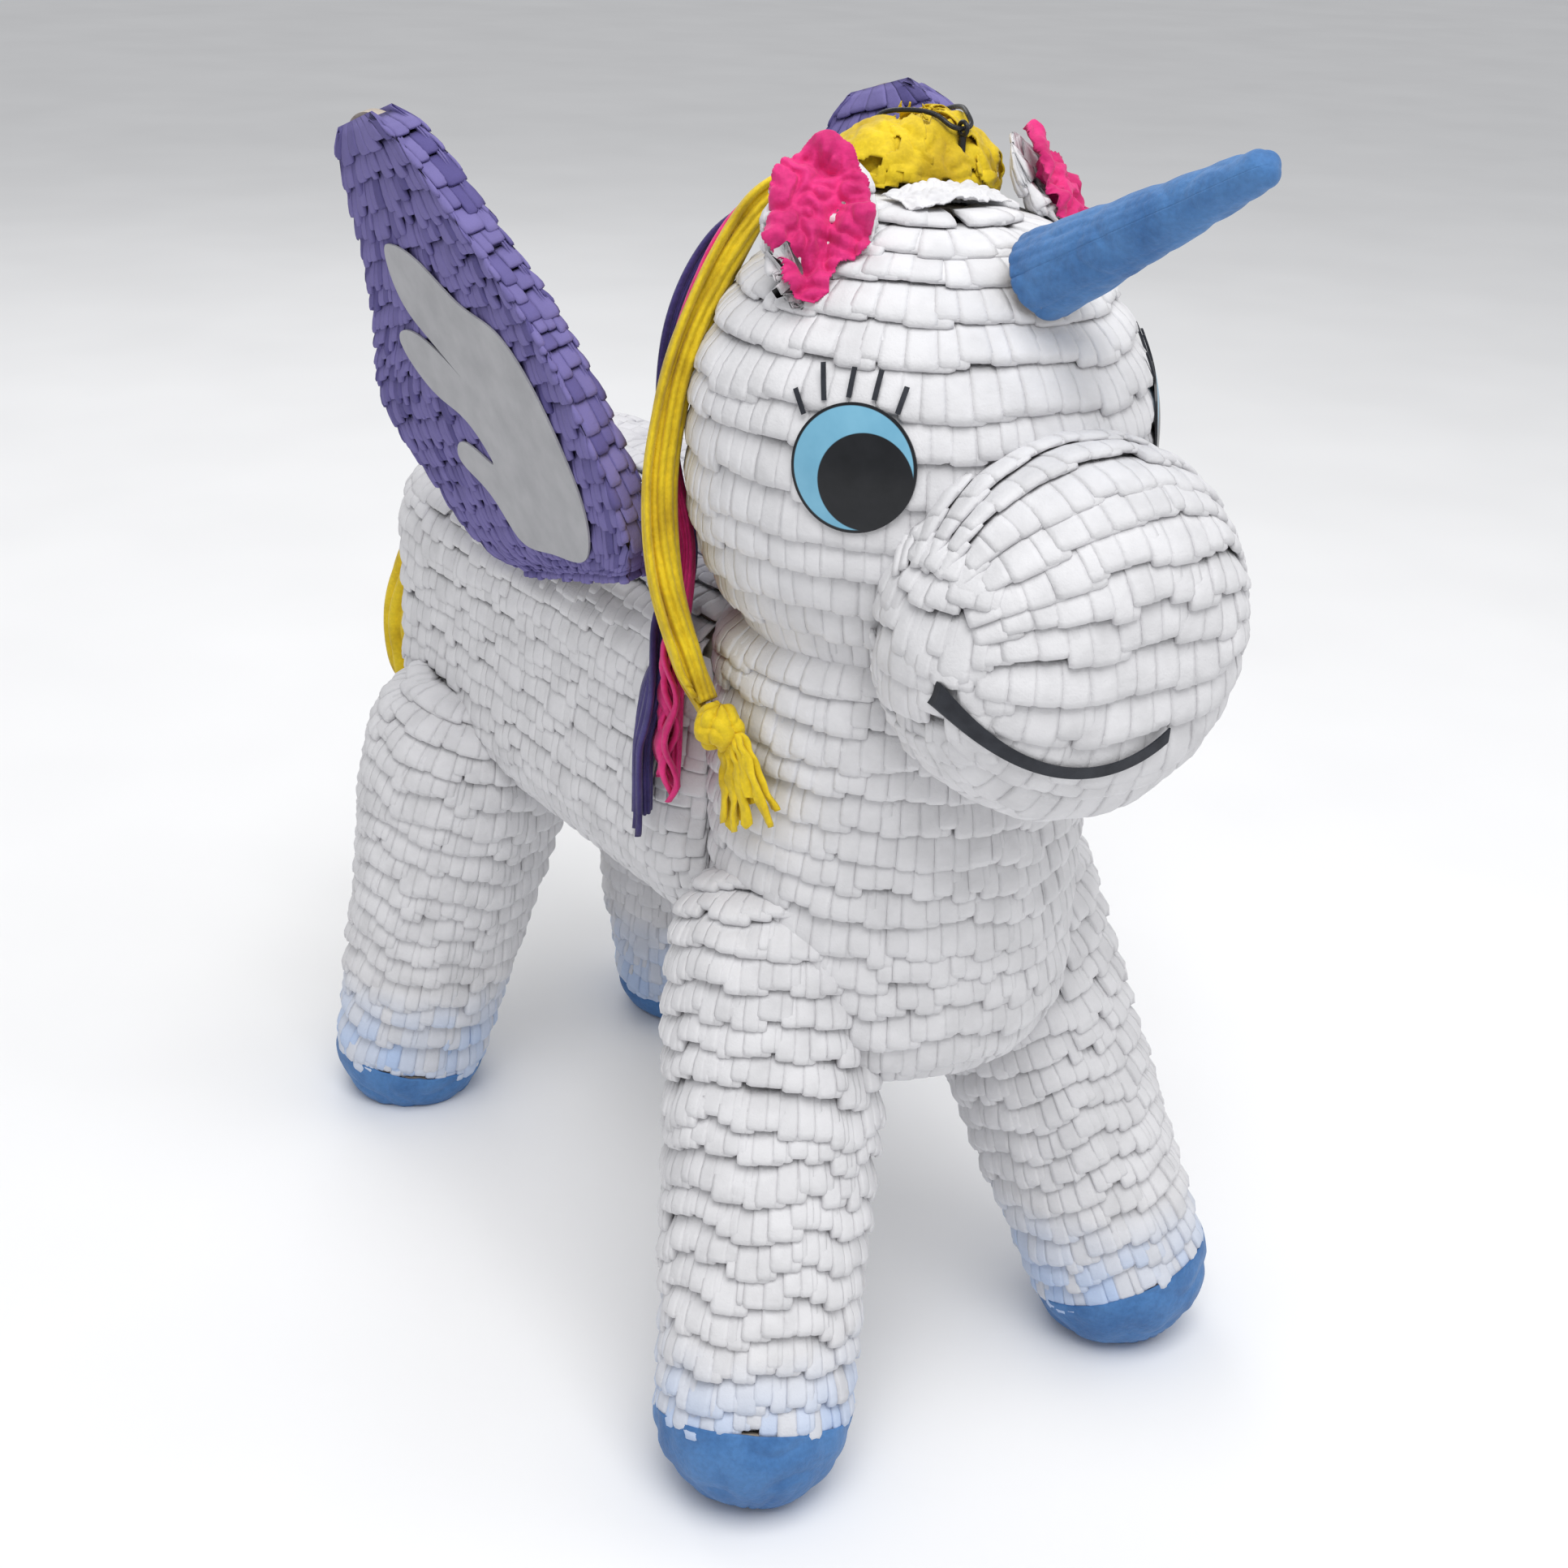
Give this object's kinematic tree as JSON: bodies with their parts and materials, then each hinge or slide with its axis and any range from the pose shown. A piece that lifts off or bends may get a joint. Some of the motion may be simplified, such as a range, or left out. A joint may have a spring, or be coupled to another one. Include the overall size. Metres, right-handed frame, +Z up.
{
  "type": "winged unicorn pinata",
  "caption": "Standing hollow paper unicorn with wings, horn, long mane, tail and fringed tissue cover; a crown flap lets sweets in and a wire loop hangs it.",
  "frame": {"origin": "on the floor, under the middle of the whole figure", "axes": "+Z up, the animal faces -Y, its right side is -X"},
  "size_m": [0.3284, 0.7145, 0.6379],
  "materials": {
    "blue_crepe": "matt crinkled crepe paper",
    "white_tissue": "matt white tissue, cut into fringe",
    "purple_tissue": "matt purple tissue, cut into fringe",
    "grey_paper": "smooth pale grey paper",
    "pink_crepe": "matt crinkled crepe paper",
    "yellow_crepe": "matt pleated crepe paper",
    "dark_purple_crepe": "matt crinkled crepe paper",
    "printed_eye": "glossy printed paper under clear film",
    "black_paper": "matt black paper",
    "black_wire": "plastic coated tie wire",
    "dowel_wood": "plain softwood",
    "white_card": "white card with torn tissue",
    "brown_card": "glued newspaper and card, plain inside"
  },
  "bodies": {
    "figure": {"anchor_dowel": "dowel_wood", "chest_fringe": "white_tissue", "chest_shell": "brown_card", "ear_card_left": "white_card", "ear_card_right": "white_card", "ear_lining_left": "pink_crepe", "ear_lining_right": "pink_crepe", "eye_print_left": "printed_eye", "eye_print_right": "printed_eye", "eyelashes_left": "black_paper", "eyelashes_right": "black_paper", "front_hoof_cap_left": "brown_card", "front_hoof_cap_right": "brown_card", "front_hoof_crepe_left": "blue_crepe", "front_hoof_crepe_right": "blue_crepe", "front_leg_fringe_left": "white_tissue", "front_leg_fringe_right": "white_tissue", "front_leg_shell_left": "brown_card", "front_leg_shell_right": "brown_card", "head_fringe": "white_tissue", "head_shell": "brown_card", "hind_hoof_cap_left": "brown_card", "hind_hoof_cap_right": "brown_card", "hind_hoof_crepe_left": "blue_crepe", "hind_hoof_crepe_right": "blue_crepe", "hind_leg_fringe_left": "white_tissue", "hind_leg_fringe_right": "white_tissue", "hind_leg_shell_left": "brown_card", "hind_leg_shell_right": "brown_card", "horn_cone": "brown_card", "horn_crepe": "blue_crepe", "mane_knot": "yellow_crepe", "mane_pink": "pink_crepe", "mane_purple": "dark_purple_crepe", "mane_tassel": "yellow_crepe", "mane_yellow": "yellow_crepe", "muzzle_fringe": "white_tissue", "muzzle_shell": "brown_card", "smile_strip": "black_paper", "tail": "yellow_crepe", "tail_tie": "black_wire", "topknot": "yellow_crepe", "torso_fringe": "white_tissue", "torso_shell": "brown_card", "wing_card_left": "brown_card", "wing_card_right": "brown_card", "wing_feather_left": "grey_paper", "wing_feather_right": "grey_paper", "wing_fringe_left": "purple_tissue", "wing_fringe_right": "purple_tissue", "wire_eye": "black_wire"},
    "flap": {"fill_flap": "white_tissue"},
    "loop": {"hanging_loop": "black_wire"}
  },
  "joints": [
    {"name": "flap_hinge", "type": "hinge", "parent": "figure", "child": "flap", "pos_m": [0, -0.16, 0.5973], "axis": [-1, 0, 0], "range_deg": [0, 75]},
    {"name": "loop_swing", "type": "hinge", "parent": "figure", "child": "loop", "pos_m": [0.022, -0.1521, 0.617], "axis": [1, 0, 0], "range_deg": [0, 75]}
  ]
}
